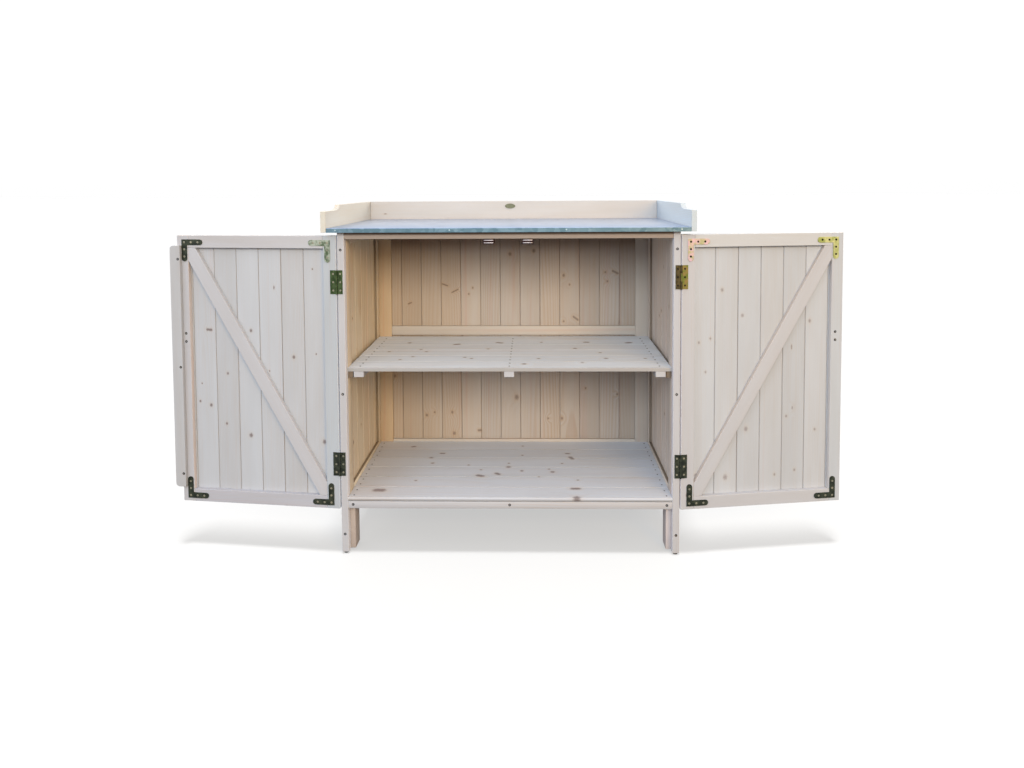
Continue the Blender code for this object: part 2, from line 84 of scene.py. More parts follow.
# Wood colours (linear): the white wash, the bare wood under it, late wood, knots
WASH = (0.56, 0.545, 0.53)
BARE = (0.60, 0.47, 0.34)
LATE = (0.47, 0.34, 0.24)
ROSY = (0.58, 0.36, 0.29)
KNOT_CORE = (0.10, 0.075, 0.065)
KNOT_RIM = (0.22, 0.14, 0.12)
SEAM = (0.20, 0.165, 0.14)
# How far from a seam's middle its dark begins to fade, and where it ends
SEAM_FADE = (0.0008, 0.0017)

# How far a knot's own colour shows through the wash
KNOT_DEPTH = 0.8

# How the sides of a stick differ, all painted light and shade: darker in the cabinet's inner frames,
# painted shade of the recesses by the boards; near white by a hinge, a painted highlight in the gap
# at the post; warmer on a brace, painted warm light against the cool lamp's tint; lighter on a free
# stile, painted light on its shaded inner side
SHADED_SIDE = (0.34, 0.30, 0.26)
HIGHLIGHT_SIDE = (1.75, 1.75, 1.75)
WARM_SIDE = (1.15, 1.0, 0.84)
LIT_SIDE = (1.35, 1.22, 1.10)

# How each surface's wash differs from the plain one; some of these tints are in part painted light and shade, as
# noted
OUTSIDE = (0.75, 0.785, 0.895)
DOOR_BOARDS = (0.735, 0.795, 0.915)
SHELF = (1.09, 1.19, 1.36)
FLOOR = (0.92, 1.01, 1.20)
BACK = (0.72, 0.71, 0.73)
RAIL = (0.79, 0.77, 0.76)
# Warmer on the left and cooler on the right: in part painted light, warm from the right lamp, cool from the left
LEFT_WALL = (1.12, 1.12, 1.04)
RIGHT_WALL = (1.04, 1.04, 1.07)
SPLASH_BACK = (0.80, 0.80, 0.83)
# The right splash board's bluer tint is in part painted cool light from the left lamp
SPLASH_LEFT = (0.94, 0.985, 0.99)
SPLASH_RIGHT = (0.805, 0.965, 1.15)
# The front rail's darker tint is painted shade under the sheet's lip
FRONT_RAIL = (0.52, 0.47, 0.46)
# Left warmer and less washed than right: in part painted warm light from the right lamp
SIDE_FRAME_LOOKS = {"left": (0.50, LEFT_WALL), "right": (0.62, RIGHT_WALL)}
BACK_STILES = {"left": (0.45, (0.80, 0.70, 0.56)), "right": (0.58, (0.70, 0.70, 0.72))}
# The shelf cleats' dark brown is painted shade under the shelf
CLEAT = (0.30, 0.27, 0.25)
FOOT = {"left": (0.76, 0.70, 0.705), "right": (0.94, 0.90, 0.98)}

# Joinery of the frames, as in the CAD part
POST_INNER = 0.4350
MEMBER_OUTER = 0.4430
FOOT_INNER = 0.4215
SIDE_STILE = 0.0367
SIDE_REAR_STILE = 0.0270
SIDE_RAIL_TOP = 0.1675
JOINT = 0.0009
UPPER_RAILS_BOTTOM = 0.8350
CLEAT_BOTTOM = 0.4745
CLEAT_TOP = 0.4934
BACK_STILE_INNER = 0.3945
BACK_RAILS = ((0.1355, 0.1645), (0.5078, 0.5368), (0.8350, 0.8702))
FRAME_BOTTOM = 0.1255
CLEAT_WIDTH = 0.0210
FLOOR_RAIL_DROP = 0.0022
FOOT_DEPTH = 0.0400
FLOOR_MEMBER_DEPTH = 0.0200
STICK_BEVEL = 0.0010

# Screws: the head, then where they sit, with a hinge leaf's face measured from the pin and a pull's
# screws from its middle
SCREW_RADIUS = 0.0036
SCREW_PROUD = 0.00025
SCREW_UNDERSIDE = 0.0008
SCREW_SEGMENTS = 24
PLATE_WIDTH = 0.0155
PLATE_HOLE_PITCH = 0.0195
PLATE_SCREW_SIZE = 0.80
HINGE_SCREW_SIZE = 0.74
HINGE_SCREW_REACH = 0.0095
HINGE_SCREW_OFFSETS = (-0.0220, 0.0, 0.0220)
HINGE_LEAF_FACE = -0.0010
PULL_SCREW_SHIFT = -0.003
PULL_SCREW_OFFSETS = (-0.0112, 0.0112)
STRIP_SCREW_INSET = 0.0055
STRIP_LOW_SCREW = 0.0370
STRIP_HIGH_SCREW = 0.0365
CARCASS_FRONT = -0.2200
POST_SCREW_X = 0.4445
POST_SCREW_HEIGHTS = (0.823, 0.436, 0.054)
RAIL_SCREWS_X = (-0.4215, 0.0, 0.420)
RAIL_SCREW_HEIGHT = 0.1357

# Nails
NAIL_RADIUS = 0.0022
NAIL_PROUD = 0.0002
NAIL_SEGMENTS = 14
NAILS_IN_A_BOARD = (0.27, 0.73)
NAIL_FROM_EDGE = 0.006
SHELF_NAILS_X = (-0.405, 0.0, 0.405)
SHELF_NAIL_SIZE = 1.4
FLOOR_NAILS_X = (-0.4215, 0.4215)
FLOOR_NAIL_SIZE = 1.15
LIP_NAILS_X = (-0.452, -0.1525, 0.1525, 0.452)
LIP_NAIL_HEIGHT = 0.0062

# Magnetic catches
CATCH_BEVEL = 0.0016
POLE_PROUD = 0.0006
POLE_DEPTH = 0.0040
POLE_HALF = 0.0008
POLE_BEVEL = 0.0003
POLE_FROM_SIDE = 0.003
POLE_DROPS = (0.0036, 0.0104)


class Graph:
    """Short calls for shader nodes. An input takes a number, a tuple or another node's output."""

    def __init__(self, tree):
        self.tree = tree

    def node(self, kind, inputs, output=0, **settings):
        made = self.tree.nodes.new(kind)
        for name, value in settings.items():
            setattr(made, name, value)
        for key, value in inputs.items():
            if isinstance(value, bpy.types.NodeSocket):
                self.tree.links.new(value, made.inputs[key])
            else:
                made.inputs[key].default_value = value
        return made.outputs[output]

    def math(self, operation, *values):
        return self.node("ShaderNodeMath", dict(enumerate(values)), operation=operation)

    def vector(self, operation, *values, output=0):
        inputs = dict(enumerate(values))
        return self.node("ShaderNodeVectorMath", inputs, output, operation=operation)

    def scaled(self, point, factors):
        return self.vector("MULTIPLY", point, factors)

    def combine(self, x, y, z):
        return self.node("ShaderNodeCombineXYZ", {0: x, 1: y, 2: z})

    def part(self, point, axis):
        return self.node("ShaderNodeSeparateXYZ", {0: point}, axis)

    def noise(self, point, detail=2.0, roughness=0.5):
        inputs = {"Vector": point, "Scale": 1.0, "Detail": detail, "Roughness": roughness}
        return self.node("ShaderNodeTexNoise", inputs, "Fac")

    def step(self, value, low, high, start=0.0, end=1.0):
        """Smooth change from start to end while value goes from low to high."""
        inputs = {"Value": value, 1: low, 2: high, 3: start, 4: end}
        return self.node("ShaderNodeMapRange", inputs, interpolation_type="SMOOTHSTEP")

    def mix(self, factor, a, b):
        inputs = {0: factor, 6: with_alpha(a), 7: with_alpha(b)}
        return self.node("ShaderNodeMix", inputs, 2, data_type="RGBA")

    def random(self, value):
        return self.node("ShaderNodeTexWhiteNoise", {"W": value}, noise_dimensions="1D")

    def shaded(self, colour, factor, shade):
        """The colour, multiplied by shade where factor is 1."""
        return self.vector("MULTIPLY", colour, self.mix(factor, WHITE, shade))

    def place(self):
        """The shaded point in the object's own space."""
        return self.node("ShaderNodeTexCoord", {}, "Object")


def with_alpha(colour):
    return (*colour, 1.0) if isinstance(colour, tuple) and len(colour) == 3 else colour


def new_group(name, inputs, outputs):
    """A shader node group; inputs maps each name to its socket type and default."""
    group = bpy.data.node_groups.new(name, "ShaderNodeTree")
    for key, (kind, default) in inputs.items():
        socket = group.interface.new_socket(key, in_out="INPUT", socket_type=kind)
        socket.default_value = default
    for key, kind in outputs.items():
        group.interface.new_socket(key, in_out="OUTPUT", socket_type=kind)
    given = group.nodes.new("NodeGroupInput").outputs
    result = group.nodes.new("NodeGroupOutput").inputs
    return group, Graph(group), given, result


FLOAT, VECTOR, COLOUR = "NodeSocketFloat", "NodeSocketVector", "NodeSocketColor"


def make_knot_group():
    """How far a point is from a knot, in knot radii, or from a nearer one that was found before.

    A knot that a branch crosses at an angle is long: Streak is the vector from its one end to the other.
    """
    inputs = {
        "Point": (VECTOR, (0, 0, 0)),
        "Centre": (VECTOR, (0, 0, 0)),
        "Streak": (VECTOR, (0, 0, 0)),
        "Radius": (FLOAT, 0.004),
        "Nearest": (FLOAT, NO_KNOT),
    }
    group, g, given, result = new_group("nearest_knot", inputs, {"Nearest": FLOAT})
    away = g.vector("SUBTRACT", given["Point"], given["Centre"])
    streak = given["Streak"]
    run = g.vector("DOT_PRODUCT", away, streak, output="Value")
    run = g.math("DIVIDE", run, g.vector("DOT_PRODUCT", streak, streak, output="Value"))
    run = g.math("MINIMUM", g.math("MAXIMUM", run, -0.5), 0.5)
    beside = g.vector("SUBTRACT", away, g.scaled(streak, g.combine(run, run, run)))
    beside = g.scaled(beside, (0.80, 1.0, 0.0))
    radii = g.math("DIVIDE", g.vector("LENGTH", beside, output="Value"), given["Radius"])
    g.tree.links.new(g.math("MINIMUM", radii, given["Nearest"]), result["Nearest"])
    return group


def make_pine_group():
    """Whitewashed pine. Point is (along, across, through) the grain in metres."""
    inputs = {
        "Point": (VECTOR, (0, 0, 0)),
        "Knot": (FLOAT, NO_KNOT),
        "Random": (FLOAT, 0.5),
        "Cover": (FLOAT, 0.8),
        "Tint": (COLOUR, with_alpha(WHITE)),
        "Knottiness": (FLOAT, 0.3),
        "Knot depth": (FLOAT, KNOT_DEPTH),
    }
    outputs = {"Colour": COLOUR, "Roughness": FLOAT, "Height": FLOAT}
    group, g, given, result = new_group("whitewashed_pine", inputs, outputs)
    chance = given["Random"]
    along, across, through = (g.part(given["Point"], i) for i in range(3))
    point = g.combine(g.math("MULTIPLY_ADD", chance, 37.0, along), across, through)

    # Small knots that the wood has of itself, one in some of the cells
    cells = g.combine(
        g.math("MULTIPLY", g.part(point, 0), 4.2),
        g.math("ADD", g.math("MULTIPLY", across, 11.0), g.math("MULTIPLY", chance, 31.0)),
        0.0,
    )
    voronoi = g.tree.nodes.new("ShaderNodeTexVoronoi")
    voronoi.voronoi_dimensions = "2D"
    voronoi.inputs["Scale"].default_value = 1.0
    g.tree.links.new(cells, voronoi.inputs["Vector"])
    cell = g.part(voronoi.outputs["Color"], 0)
    size = g.math("MULTIPLY_ADD", g.part(voronoi.outputs["Color"], 1), 0.018, 0.010)
    own = g.math("DIVIDE", voronoi.outputs["Distance"], size)
    absent = g.math("GREATER_THAN", cell, given["Knottiness"])
    own = g.math("MULTIPLY_ADD", absent, 50.0, own)
    ragged = g.noise(g.scaled(point, (330.0, 330.0, 330.0)), 2.0)
    near = g.math("MINIMUM", own, given["Knot"])
    near = g.math("MULTIPLY_ADD", g.math("SUBTRACT", ragged, 0.5), 0.9, near)

    # Growth rings round a pith that lies beside the board or under it, bent round each knot
    pith_across = g.math("MULTIPLY_ADD", chance, 0.24, -0.12)
    pith_below = g.math("MULTIPLY_ADD", g.random(g.math("MULTIPLY", chance, 91.7)), 0.03, 0.010)
    warp = g.noise(g.scaled(point, (1.6, 14.0, 14.0)), 2.0)
    warp = g.math("MULTIPLY_ADD", warp, 0.018, -0.009)
    bulge = g.step(near, 1.0, 6.0, 0.0045, 0.0)
    side = g.math("ADD", g.math("SUBTRACT", across, pith_across), warp)
    deep = g.math("ADD", g.math("ADD", through, pith_below), g.math("MULTIPLY", along, 0.012))
    radius = g.vector("LENGTH", g.combine(side, deep, 0.0), output="Value")
    phase = g.math("DIVIDE", g.math("ADD", radius, bulge), 0.0040)
    ring = g.math("FRACT", phase)
    late = g.math("MULTIPLY", g.step(ring, 0.20, 0.85), g.step(ring, 0.88, 1.0, 1.0, 0.0))
    wide = g.noise(g.scaled(point, (1.3, 9.0, 9.0)), 2.0)
    late = g.math("MULTIPLY", late, g.step(wide, 0.35, 0.70, 0.15, 1.0))

    # Fibres, long streaks, and a wash that took unevenly
    fibre = g.noise(g.scaled(point, (14.0, 800.0, 800.0)), 3.0, 0.6)
    streak = g.noise(g.scaled(point, (1.8, 170.0, 170.0)), 3.0, 0.6)
    blotch = g.noise(g.scaled(point, (4.0, 24.0, 24.0)), 3.0, 0.55)
    cover = g.math("MULTIPLY_ADD", late, -0.17, given["Cover"])
    for texture, weight in ((fibre, 0.22), (streak, 0.36), (blotch, 0.22)):
        centred = g.math("SUBTRACT", texture, 0.5)
        cover = g.math("MULTIPLY_ADD", centred, weight, cover)
    cover = g.math("SUBTRACT", cover, g.step(near, 1.0, 3.2, 0.16, 0.0))
    wood = g.mix(g.math("MULTIPLY", late, 0.7), BARE, LATE)
    rosy = g.step(g.noise(g.scaled(point, (0.9, 75.0, 75.0)), 2.0), 0.55, 0.72, 0.0, 0.55)
    wood = g.mix(rosy, wood, ROSY)
    cover = g.math("MULTIPLY_ADD", rosy, -0.16, cover)
    colour = g.mix(g.step(cover, 0.0, 1.0), wood, WASH)
    heart = g.mix(blotch, KNOT_CORE, KNOT_RIM)
    inside = g.step(near, 0.30, 1.50, 1.0, 0.0)
    colour = g.mix(g.math("MULTIPLY", inside, given["Knot depth"]), colour, heart)
    uneven = g.math("MULTIPLY_ADD", blotch, 0.16, 0.92)
    tinted = g.vector("MULTIPLY", colour, given["Tint"])
    tinted = g.vector("SCALE", tinted)
    g.tree.links.new(uneven, tinted.node.inputs["Scale"])

    height = g.math("MULTIPLY_ADD", late, 0.35, g.math("MULTIPLY", fibre, 0.50))
    height = g.math("MULTIPLY_ADD", inside, 0.35, height)
    g.tree.links.new(tinted, result["Colour"])
    g.tree.links.new(g.math("MULTIPLY_ADD", fibre, 0.22, 0.52), result["Roughness"])
    g.tree.links.new(height, result["Height"])
    return group


def to_mesh(name, bm):
    mesh = bpy.data.meshes.new(name)
    bm.to_mesh(mesh)
    bm.free()
    return mesh


def linked(name, data):
    """A new object in the scene."""
    obj = bpy.data.objects.new(name, data)
    bpy.context.scene.collection.objects.link(obj)
    return obj


def new_material(name):
    material = bpy.data.materials.new(name)
    material.use_nodes = True
    shader = material.node_tree.nodes["Principled BSDF"]
    return material, Graph(material.node_tree), shader


def bump(g, shader, height, distance, strength=0.5):
    inputs = {"Height": height, "Distance": distance, "Strength": strength}
    normal = g.node("ShaderNodeBump", inputs)
    g.tree.links.new(normal, shader.inputs["Normal"])


class Axes:
    """Grain directions of a piece of wood, and the point that its coordinates start from."""

    def __init__(self, along, across, through, origin=(0, 0, 0)):
        self.rows = (Vector(along), Vector(across), Vector(through))
        self.origin = Vector(origin)

    def local(self, point):
        return Vector([(Vector(point) - self.origin).dot(row) for row in self.rows])

    def spans(self, obj):
        """Lowest and highest local coordinates of a CAD node's mesh."""
        points = [self.local(vert.co) for vert in obj.data.vertices]
        return [(min(p[i] for p in points), max(p[i] for p in points)) for i in range(3)]


def seams_of(obj, axes):
    """First seam and pitch of a run of boards, read from the V joints in its mesh."""
    values = sorted({round(axes.local(vert.co)[1], 4) for vert in obj.data.vertices})
    distinct = [v for i, v in enumerate(values) if i == 0 or v - values[i - 1] > 0.0005]
    seams = distinct[2:-1:3]
    return seams[0], (seams[-1] - seams[0]) / (len(seams) - 1)


def nearest_knot(g, point, knots):
    """How far the point is from the nearest of these knots, in knot radii."""
    nearest = NO_KNOT
    for along, across, radius, *streak in knots:
        inputs = {
            "Point": point,
            "Centre": (along, across, 0.0),
            "Streak": (*(streak or (0.0, 0.0)), 0.0),
            "Radius": radius,
            "Nearest": nearest,
        }
        nearest = g.node("ShaderNodeGroup", inputs, node_tree=KNOT_GROUP)
    return nearest


def run_of_boards(g, across, seed, boards):
    """In a run of boards: the place across its own board, the board's chance and shade, the seams."""
    first, pitch, seam_strength = boards
    place = g.math("DIVIDE", g.math("SUBTRACT", across, first), pitch)
    board = g.math("FLOOR", place)
    seam = g.random(g.math("ADD", g.math("ROUND", place), seed * 17.0 + 3.5))
    chance = g.random(g.math("ADD", board, seed * 13.0 + 0.5))
    other_chance = g.random(g.math("ADD", board, seed * 29.0 + 7.5))
    shade = g.math("MULTIPLY_ADD", other_chance, 0.10, 0.95)
    inside = g.math("MULTIPLY", g.math("SUBTRACT", g.math("FRACT", place), 0.5), pitch)
    to_seam = g.math("SUBTRACT", 0.5 * pitch, g.math("ABSOLUTE", inside))
    groove = g.step(to_seam, *SEAM_FADE, 1.0, 0.0)
    strength = g.math("MULTIPLY_ADD", seam, 0.4 * seam_strength, 0.6 * seam_strength)
    return inside, chance, shade, g.math("MULTIPLY", groove, strength)


def drifted(g, tint, place_across, drift):
    """The tint, changing from one end of a run of boards to the other: painted light and shade."""
    colour = drift[0][1]
    for (start, _), (end, later) in zip(drift, drift[1:]):
        colour = g.mix(g.step(place_across, start, end), colour, later)
    return g.vector("MULTIPLY", tint, colour)


def pine(
    piece,
    axes,
    seed,
    cover,
    tint,
    knottiness,
    knots=(),
    boards=None,
    edge_below=None,
    side_shade=None,
    outer_face=None,
):
    """Wood for one piece. A knot is (along, across, radius) in the grain's own axes, then any streak.

    boards is (first seam, pitch, how dark the seams are) where the piece is a run of boards.
    Below edge_below, through the boards, the wood is darker along their front edge; on the floor this is painted
    shade beside the gap at the front rail.
    side_shade says how the faces along the piece's thickness differ: painted light and shade.
    outer_face is (sign, how far out): beyond it, through the boards, they have the outside's wash.
    """
    material, g, shader = new_material("pine_" + piece)
    from_origin = g.vector("SUBTRACT", g.place(), tuple(axes.origin))
    place = [
        g.vector("DOT_PRODUCT", from_origin, tuple(row), output="Value") for row in axes.rows
    ]
    along, across, through = place
    nearest = nearest_knot(g, g.combine(along, across, 0.0), knots)
    chance = g.random(seed + 0.5)
    groove = None
    if boards:
        across, chance, shade, groove = run_of_boards(g, across, seed, boards)
        cover = g.math("MULTIPLY_ADD", chance, 0.12, cover - 0.06)
        tint = g.vector("MULTIPLY", tint, g.combine(shade, shade, shade))
    if piece in LIGHT_DRIFTS:
        tint = drifted(g, tint, place[1], LIGHT_DRIFTS[piece])
    if edge_below:
        tint = g.shaded(tint, g.math("LESS_THAN", through, edge_below), EDGE_SHADE)
    if piece in PAINTED_SHADE_AND_TONE:
        axis, start, full, shade = PAINTED_SHADE_AND_TONE[piece]
        tint = g.shaded(tint, g.step(place[axis], start, full), shade)
    if outer_face:
        sign, limit = outer_face
        outside = g.math("GREATER_THAN", g.math("MULTIPLY", through, sign), limit)
        cover = g.math("ADD", cover, g.math("MULTIPLY", outside, OUTER_COVER))
        tint = g.mix(outside, tint, OUTSIDE)
    if side_shade:
        normal = g.node("ShaderNodeTexCoord", {}, "Normal")
        facing_out = g.vector("DOT_PRODUCT", normal, tuple(axes.rows[2]), output="Value")
        on_side = g.step(g.math("ABSOLUTE", facing_out), 0.80, 0.95, 1.0, 0.0)
        tint = g.shaded(tint, on_side, side_shade)
    inputs = {
        "Point": g.combine(along, across, through),
        "Knot": nearest,
        "Random": chance,
        "Cover": cover,
        "Tint": with_alpha(tint),
        "Knottiness": knottiness,
        "Knot depth": KNOT_DEPTHS.get(piece, KNOT_DEPTH),
    }
    colour = g.node("ShaderNodeGroup", inputs, node_tree=PINE_GROUP)
    wood = colour.node.outputs
    if groove:
        colour = g.mix(groove, wood["Colour"], SEAM)
    g.tree.links.new(colour, shader.inputs["Base Color"])
    g.tree.links.new(wood["Roughness"], shader.inputs["Roughness"])
    shader.inputs["Specular IOR Level"].default_value = 0.30
    bump(g, shader, wood["Height"], 0.0004)
    return material


def door_axes(side):
    """The open door's own axes: s from the hinge pin to the free edge, t to the inside, z up."""
    joint = next(j for j in frame["joints"] if j["child"] == side + "_door")
    sign, closing = (1, joint["range_deg"][1]) if side == "left" else (-1, joint["range_deg"][0])
    turn = Matrix.Rotation(math.radians(-closing), 3, "Z")
    pin = Vector((joint["pos_m"][0], joint["pos_m"][1], 0.0))
    return turn @ (sign * X), turn @ Y, pin


def axes_by_size(obj, rows, origin=(0, 0, 0)):
    """Grain along the longest side, across the next, through the thinnest."""
    plain = Axes(*rows, origin)
    spans = plain.spans(obj)
    order = sorted(range(3), key=lambda i: spans[i][0] - spans[i][1])
    return Axes(*(rows[i] for i in order), origin)


def paint(obj, material):
    obj.data.materials.clear()
    obj.data.materials.append(material)


# Knots that stand out, read off the photo to about a centimetre: (board, metres along the
# grain, radius, then how far it streaks). Boards count from 0 at the panel's low end, or at a door's
# hinge: 3.5 is the middle of the fourth.
KNOTS = {
    "shelf_boards": [
        (2.7, -0.36, 0.003), (4.4, -0.32, 0.004), (3.1, -0.27, 0.003), (2.7, -0.25, 0.003),
        (1.8, -0.28, 0.003), (1.3, -0.31, 0.003), (4.1, -0.17, 0.004, 0.010, 0.004),
        (4.4, -0.04, 0.004, 0.012, -0.004), (3.2, -0.07, 0.003), (1.7, -0.13, 0.003), (1.5, -0.11, 0.003),
        (0.6, 0.04, 0.004), (4.5, 0.23, 0.004, 0.008, 0.0), (3.3, 0.19, 0.004), (2.5, 0.26, 0.003),
        (1.5, 0.27, 0.004), (0.8, 0.20, 0.003), (4.4, 0.36, 0.005, 0.008, 0.003), (1.5, 0.08, 0.003),
        (4.5, 0.09, 0.003), (1.5, 0.38, 0.003),
    ],
    "floor_boards": [
        (5.3, -0.32, 0.004, 0.006, 0.002), (4.5, -0.22, 0.004, 0.008, 0.0), (4.0, -0.25, 0.005),
        (3.4, -0.24, 0.004), (3.2, -0.13, 0.003), (3.4, -0.01, 0.003), (3.0, -0.01, 0.006),
        (2.7, -0.09, 0.003), (2.6, 0.03, 0.004), (2.3, -0.04, 0.005, 0.006, -0.006),
        (2.1, -0.09, 0.006, 0.010, -0.004), (2.0, 0.08, 0.003), (2.8, 0.11, 0.003), (2.5, 0.12, 0.005),
        (4.5, 0.17, 0.004, 0.006, 0.0), (4.0, 0.18, 0.005, 0.006, -0.012), (3.4, 0.15, 0.003),
        (1.7, 0.19, 0.003), (1.6, -0.27, 0.003), (0.7, -0.36, 0.008, 0.016, 0.0),
        (0.9, 0.18, 0.006, 0.014, 0.0), (5.4, 0.03, 0.003), (4.3, 0.03, 0.003), (0.1, 0.18, 0.007),
    ],
    "back_boards": [
        (7.5, 0.77, 0.005), (8.7, 0.78, 0.005), (10.2, 0.70, 0.004), (10.5, 0.67, 0.003),
        (12.3, 0.71, 0.003), (12.8, 0.71, 0.003, -0.008, 0.016), (12.4, 0.68, 0.003),
        (10.8, 0.56, 0.003, -0.010, 0.014), (10.2, 0.55, 0.003), (4.2, 0.67, 0.002, -0.006, 0.016),
        (4.7, 0.65, 0.002, 0.010, 0.020), (5.6, 0.66, 0.003), (5.4, 0.64, 0.003),
        (2.4, 0.61, 0.002, 0.004, 0.010), (3.2, 0.24, 0.004), (3.6, 0.25, 0.003), (4.5, 0.25, 0.004),
        (4.6, 0.18, 0.005), (5.9, 0.19, 0.003, 0.0, 0.008), (7.8, 0.30, 0.007), (9.4, 0.23, 0.003),
        (10.1, 0.23, 0.004), (11.3, 0.33, 0.003), (12.9, 0.31, 0.003), (1.6, 0.37, 0.004),
    ],
    "side_boards_left": [(1.3, 0.27, 0.005), (2.6, 0.29, 0.003), (1.5, 0.62, 0.003)],
    "side_boards_right": [(3.1, 0.62, 0.004), (2.3, 0.33, 0.004), (3.5, 0.60, 0.003)],
    "left_door_boards": [
        (4.4, 0.60, 0.004), (2.5, 0.53, 0.004), (1.5, 0.54, 0.002), (5.5, 0.48, 0.003),
        (3.8, 0.48, 0.003), (3.6, 0.49, 0.002), (6.3, 0.39, 0.004), (6.8, 0.40, 0.003),
        (6.7, 0.45, 0.002), (5.6, 0.34, 0.003), (4.5, 0.31, 0.005), (1.2, 0.30, 0.005),
        (6.3, 0.60, 0.003, 0.001, 0.012), (1.6, 0.77, 0.002),
    ],
    "right_door_boards": [
        (2.3, 0.71, 0.004), (3.2, 0.64, 0.004), (1.3, 0.57, 0.003), (1.8, 0.58, 0.003),
        (1.6, 0.49, 0.003), (6.2, 0.62, 0.004), (5.4, 0.55, 0.002, 0.008, 0.0), (5.2, 0.36, 0.003),
        (3.4, 0.33, 0.005), (6.5, 0.32, 0.003), (2.5, 0.20, 0.006), (1.2, 0.21, 0.004),
        (4.7, 0.20, 0.003), (5.6, 0.21, 0.003),
    ],
}

# Pieces with another knot depth, and how much larger than listed the knots are
KNOT_DEPTHS = {"right_door_boards": 0.50, "back_boards": 0.62, "shelf_boards": 0.95}
KNOT_SIZES = {"shelf_boards": 1.35, "floor_boards": 1.10}

KNOT_GROUP = make_knot_group()
PINE_GROUP = make_pine_group()
DOOR_AXES = {side: door_axes(side) for side in ("left", "right")}

# How many of the small knots that the wood has of itself, and how few where knots are listed
KNOTTINESS = 0.18
SPARE_KNOTTINESS = 0.05

# How much wash covers each piece, and how it differs in colour; a piece that isn't listed is OUTSIDE
WASH_COVER = 0.86
WOOD_LOOKS = {
    "side_boards_left": (0.45, LEFT_WALL),
    "side_boards_right": (0.60, RIGHT_WALL),
    "back_boards": (0.55, BACK),
    "shelf_boards": (0.88, SHELF),
    "floor_boards": (0.86, FLOOR),
    "splash_board_left": (0.72, SPLASH_LEFT),
    "splash_board_right": (0.84, SPLASH_RIGHT),
    "splash_board_back": (0.84, SPLASH_BACK),
    "top_front_rail": (0.75, FRONT_RAIL),
    "worktop_deck": (0.50, OUTSIDE),
    "left_door_boards": (WASH_COVER, DOOR_BOARDS),
    "right_door_boards": (WASH_COVER, DOOR_BOARDS),
    "right_door_top_rail": (WASH_COVER, (0.81, 0.855, 0.945)),
    "right_door_free_stile": (WASH_COVER, (0.75, 0.83, 0.97)),
    "left_door_bottom_rail": (WASH_COVER, (0.70, 0.74, 0.88)),
    "left_door_hinge_stile": (WASH_COVER, (0.68, 0.765, 0.895)),
    "left_door_cover_strip": (WASH_COVER, (0.70, 0.74, 0.83)),
}
# Runs of boards whose colour changes from one end to the other, painted light and shade: the back
# wall warmer at its left end, where the warm lamp falls, darker at its right end, in the right side's
# shade: (place across, how it differs)
LIGHT_DRIFTS = {
    "back_boards": ((-0.40, (0.93, 0.82, 0.68)), (-0.05, WHITE), (0.33, (0.83, 0.81, 0.79))),
}
# Runs of boards with darker front edges: how far below the top they start; on the floor boards the
# dark is painted shade beside the gap at the front rail
DARK_EDGES = {"shelf_boards": 0.0007, "floor_boards": 0.0055}
# How the sides of a door's or a post's wood differ from its face: painted highlights and painted light
SIDE_SHADES = {
    "front_post_left": HIGHLIGHT_SIDE,
    "front_post_right": HIGHLIGHT_SIDE,
    "left_door_hinge_stile": HIGHLIGHT_SIDE,
    "right_door_hinge_stile": HIGHLIGHT_SIDE,
    "right_door_brace": WARM_SIDE,
    "left_door_free_stile": LIT_SIDE,
    "right_door_free_stile": LIT_SIDE,
}
# Boards that show on both sides: which way their outside faces, through them
OUTER_FACES = {"side_boards_left": -1, "side_boards_right": 1, "back_boards": 1}
OUTER_COVER = 0.30
# Painted shade under the worktop, on the front rail's top and the back wall's top, and the floor
# darker and warmer towards its left end: (grain axis, where it starts, where it is full, how it differs)
PAINTED_SHADE_AND_TONE = {
    "top_front_rail": (1, 0.8600, 0.8655, (0.34, 0.27, 0.22)),
    "back_boards": (0, 0.765, 0.815, (0.50, 0.42, 0.36)),
    "floor_boards": (0, -0.20, -0.40, (0.94, 0.88, 0.82)),
}
EDGE_SHADE = (0.62, 0.60, 0.58)
# How dark the seams are between a door's boards
DOOR_SEAMS = 0.60
# Grain directions and how dark the seams are, for each run of boards in the cabinet
BOARD_RUNS = {
    "side_boards_left": ((Z, Y, X), 0.28),
    "side_boards_right": ((Z, Y, X), 0.28),
    "back_boards": ((Z, X, Y), 0.65),
    "shelf_boards": ((X, Y, Z), 0.92),
    "floor_boards": ((X, Y, Z), 0.85),
}


def knots_on(node, boards):
    """The node's knots in its own axes, from the boards that they lie on."""
    grown = KNOT_SIZES.get(node, 1.0)
    placed = []
    for board, along, radius, *streak in KNOTS.get(node, ()):
        first_seam, pitch, _ = boards
        placed.append((along, first_seam + pitch * (board - 1), radius * grown, *streak))
    return placed


def wood_axes(obj, node):
    """Grain along a stick's own length; boards by how they run; a door's brace on the slant."""
    if node.startswith("front_post_"):
        return Axes(Z, X, Y)
    if node in BOARD_RUNS:
        return Axes(*BOARD_RUNS[node][0])
    if "_door_" not in node:
        return axes_by_size(obj, AXES)
    s, t, pin = DOOR_AXES[node.split("_")[0]]
    if node.endswith("boards"):
        return Axes(Z, s, t, pin)
    if node.endswith("brace"):
        spans = Axes(s, Z, t, pin).spans(obj)
        run, rise = (span[1] - span[0] for span in spans[:2])
        along = (s * run + Z * rise).normalized()
        return Axes(along, (s * rise - Z * run).normalized(), t, pin)
    return axes_by_size(obj, (s, t, Z), pin)


def board_run(obj, node, axes):
    """First seam, pitch and how dark the seams are, or None where the piece isn't a run of boards."""
    if node.endswith("door_boards"):
        return (*seams_of(obj, axes), DOOR_SEAMS)
    if node in BOARD_RUNS:
        return (*seams_of(obj, axes), BOARD_RUNS[node][1])
    return None


